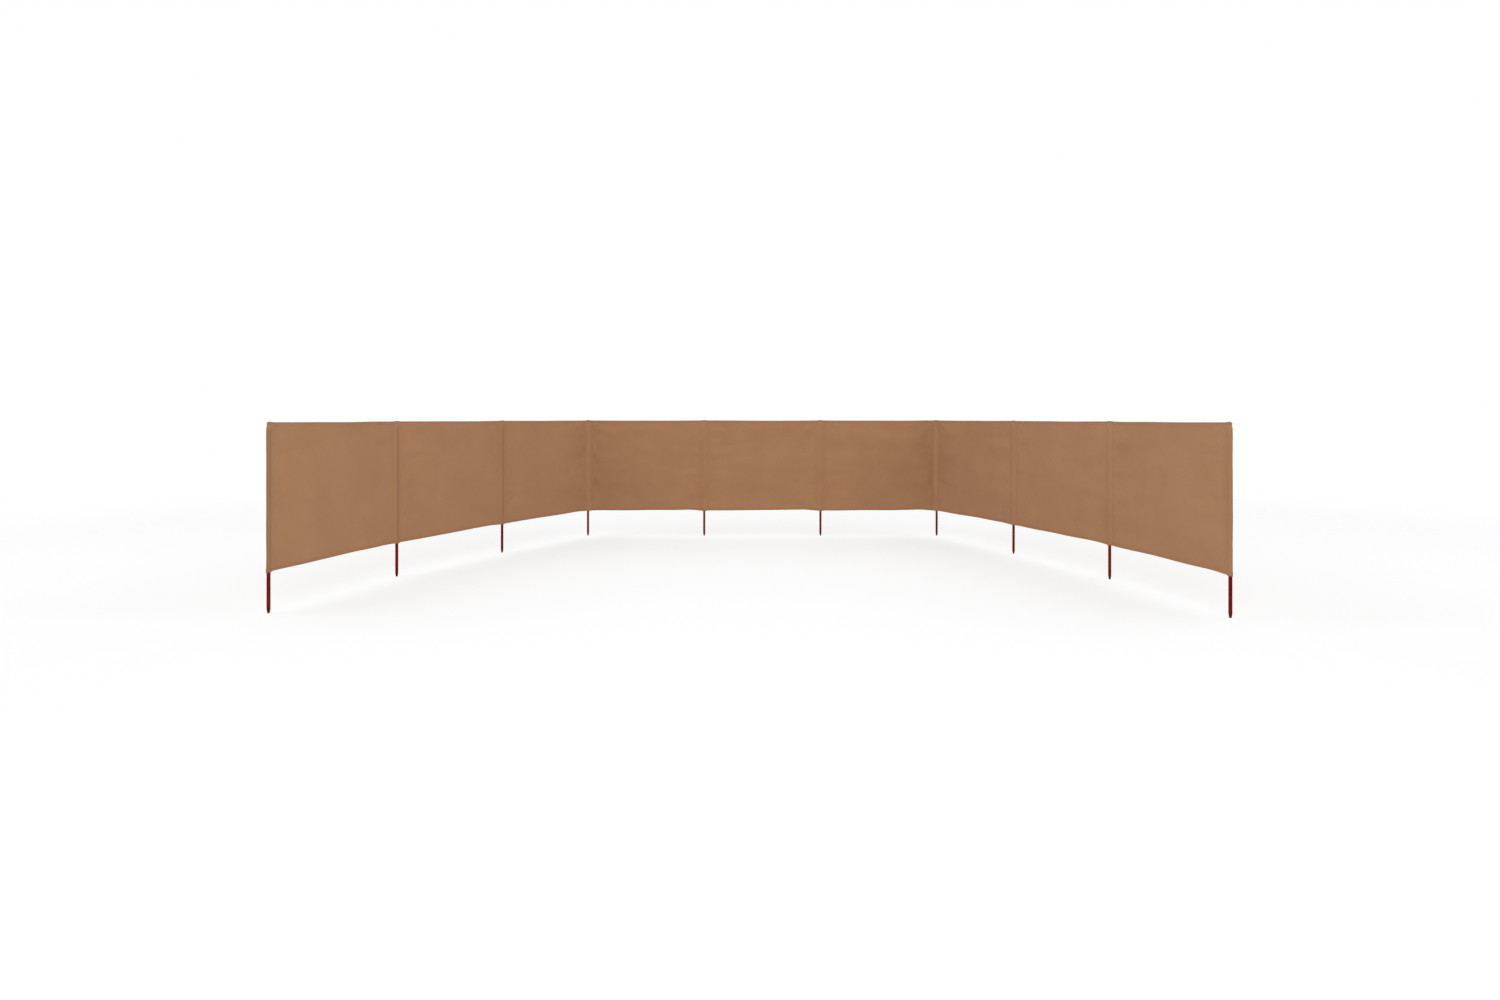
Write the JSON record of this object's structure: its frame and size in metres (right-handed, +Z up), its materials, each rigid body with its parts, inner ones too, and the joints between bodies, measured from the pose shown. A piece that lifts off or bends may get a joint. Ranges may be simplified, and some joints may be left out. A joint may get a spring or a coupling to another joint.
{
  "type": "beach windbreak",
  "caption": "Beach windbreak: a long hemmed strip of tan cloth sewn into closed sleeves round pointed wooden poles, set up as a three-sided shelter.",
  "frame": {"origin": "centre of the blunt tip of pole_5, the second pole of the middle run", "axes": "+X along the middle bays, to the right in the picture; +Y away from the viewer, the wings reach towards -Y; +Z up"},
  "size_m": [5.9885, 3.5058, 1.2],
  "materials": {
    "cloth": "matt tan plain-weave polyester cloth with sewn hems and sleeves",
    "stained_wood": "dark red-brown stained dowel, satin, darker and greyer at the point"
  },
  "bodies": {
    "root": {"pole_1": "stained_wood", "pole_2": "stained_wood", "pole_3": "stained_wood", "pole_4": "stained_wood", "pole_5": "stained_wood", "pole_6": "stained_wood", "pole_7": "stained_wood", "pole_8": "stained_wood", "pole_9": "stained_wood", "pole_10": "stained_wood", "sleeve_1": "cloth", "sleeve_2": "cloth", "sleeve_3": "cloth", "sleeve_4": "cloth", "sleeve_5": "cloth", "sleeve_6": "cloth", "sleeve_7": "cloth", "sleeve_8": "cloth", "sleeve_9": "cloth", "sleeve_10": "cloth", "panel_1": "cloth", "panel_2": "cloth", "panel_3": "cloth", "panel_4": "cloth", "panel_5": "cloth", "panel_6": "cloth", "panel_7": "cloth", "panel_8": "cloth", "panel_9": "cloth"}
  },
  "joints": []
}
